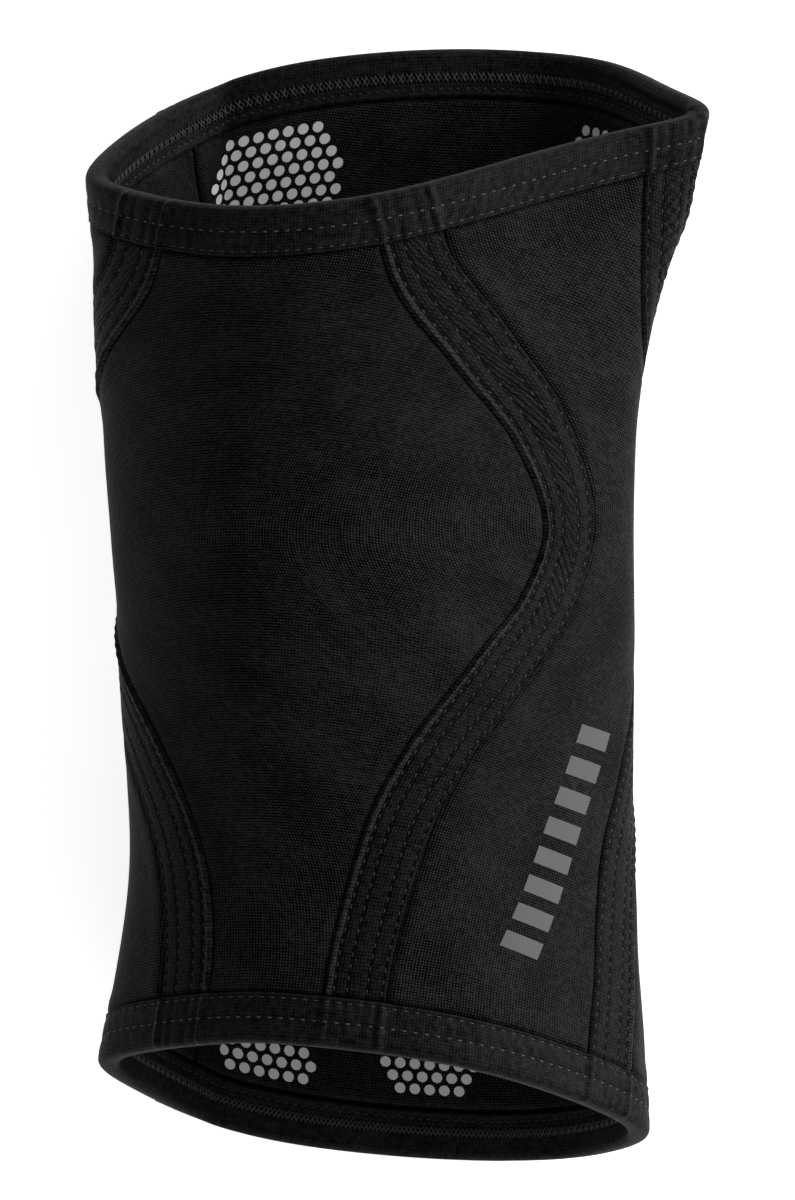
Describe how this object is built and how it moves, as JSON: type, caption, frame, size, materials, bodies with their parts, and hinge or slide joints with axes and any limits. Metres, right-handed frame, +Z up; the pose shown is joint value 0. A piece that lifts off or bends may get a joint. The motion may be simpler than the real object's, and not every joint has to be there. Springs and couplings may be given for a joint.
{
  "type": "knee sleeve",
  "caption": "Pre-bent padded knee sleeve with shaped panels, stitched seam tapes and bound rims, lying open on its longer wall.",
  "frame": {"origin": "on the floor below the middle of the sleeve's outline", "axes": "+Z up from the floor, +Y along the sleeve towards its wider thigh end, +X across the sleeve to the right as seen from above with the thigh end away"},
  "size_m": [0.1554, 0.2828, 0.0855],
  "materials": {
    "neoprene_panel": "black knitted nylon face on foam rubber, matt with a faint sheen",
    "seam_tape": "black ribbed elastic tape, matt, with four rows of stitching",
    "hem_binding": "black stretch binding folded over the rim, soft sheen, cover-stitched"
  },
  "bodies": {
    "root": {"center_panel": "neoprene_panel", "right_side_panel": "neoprene_panel", "back_panel": "neoprene_panel", "left_side_panel": "neoprene_panel", "upper_right_tape": "seam_tape", "lower_right_tape": "seam_tape", "lower_left_tape": "seam_tape", "upper_left_tape": "seam_tape", "thigh_hem": "hem_binding", "calf_hem": "hem_binding"}
  },
  "joints": []
}
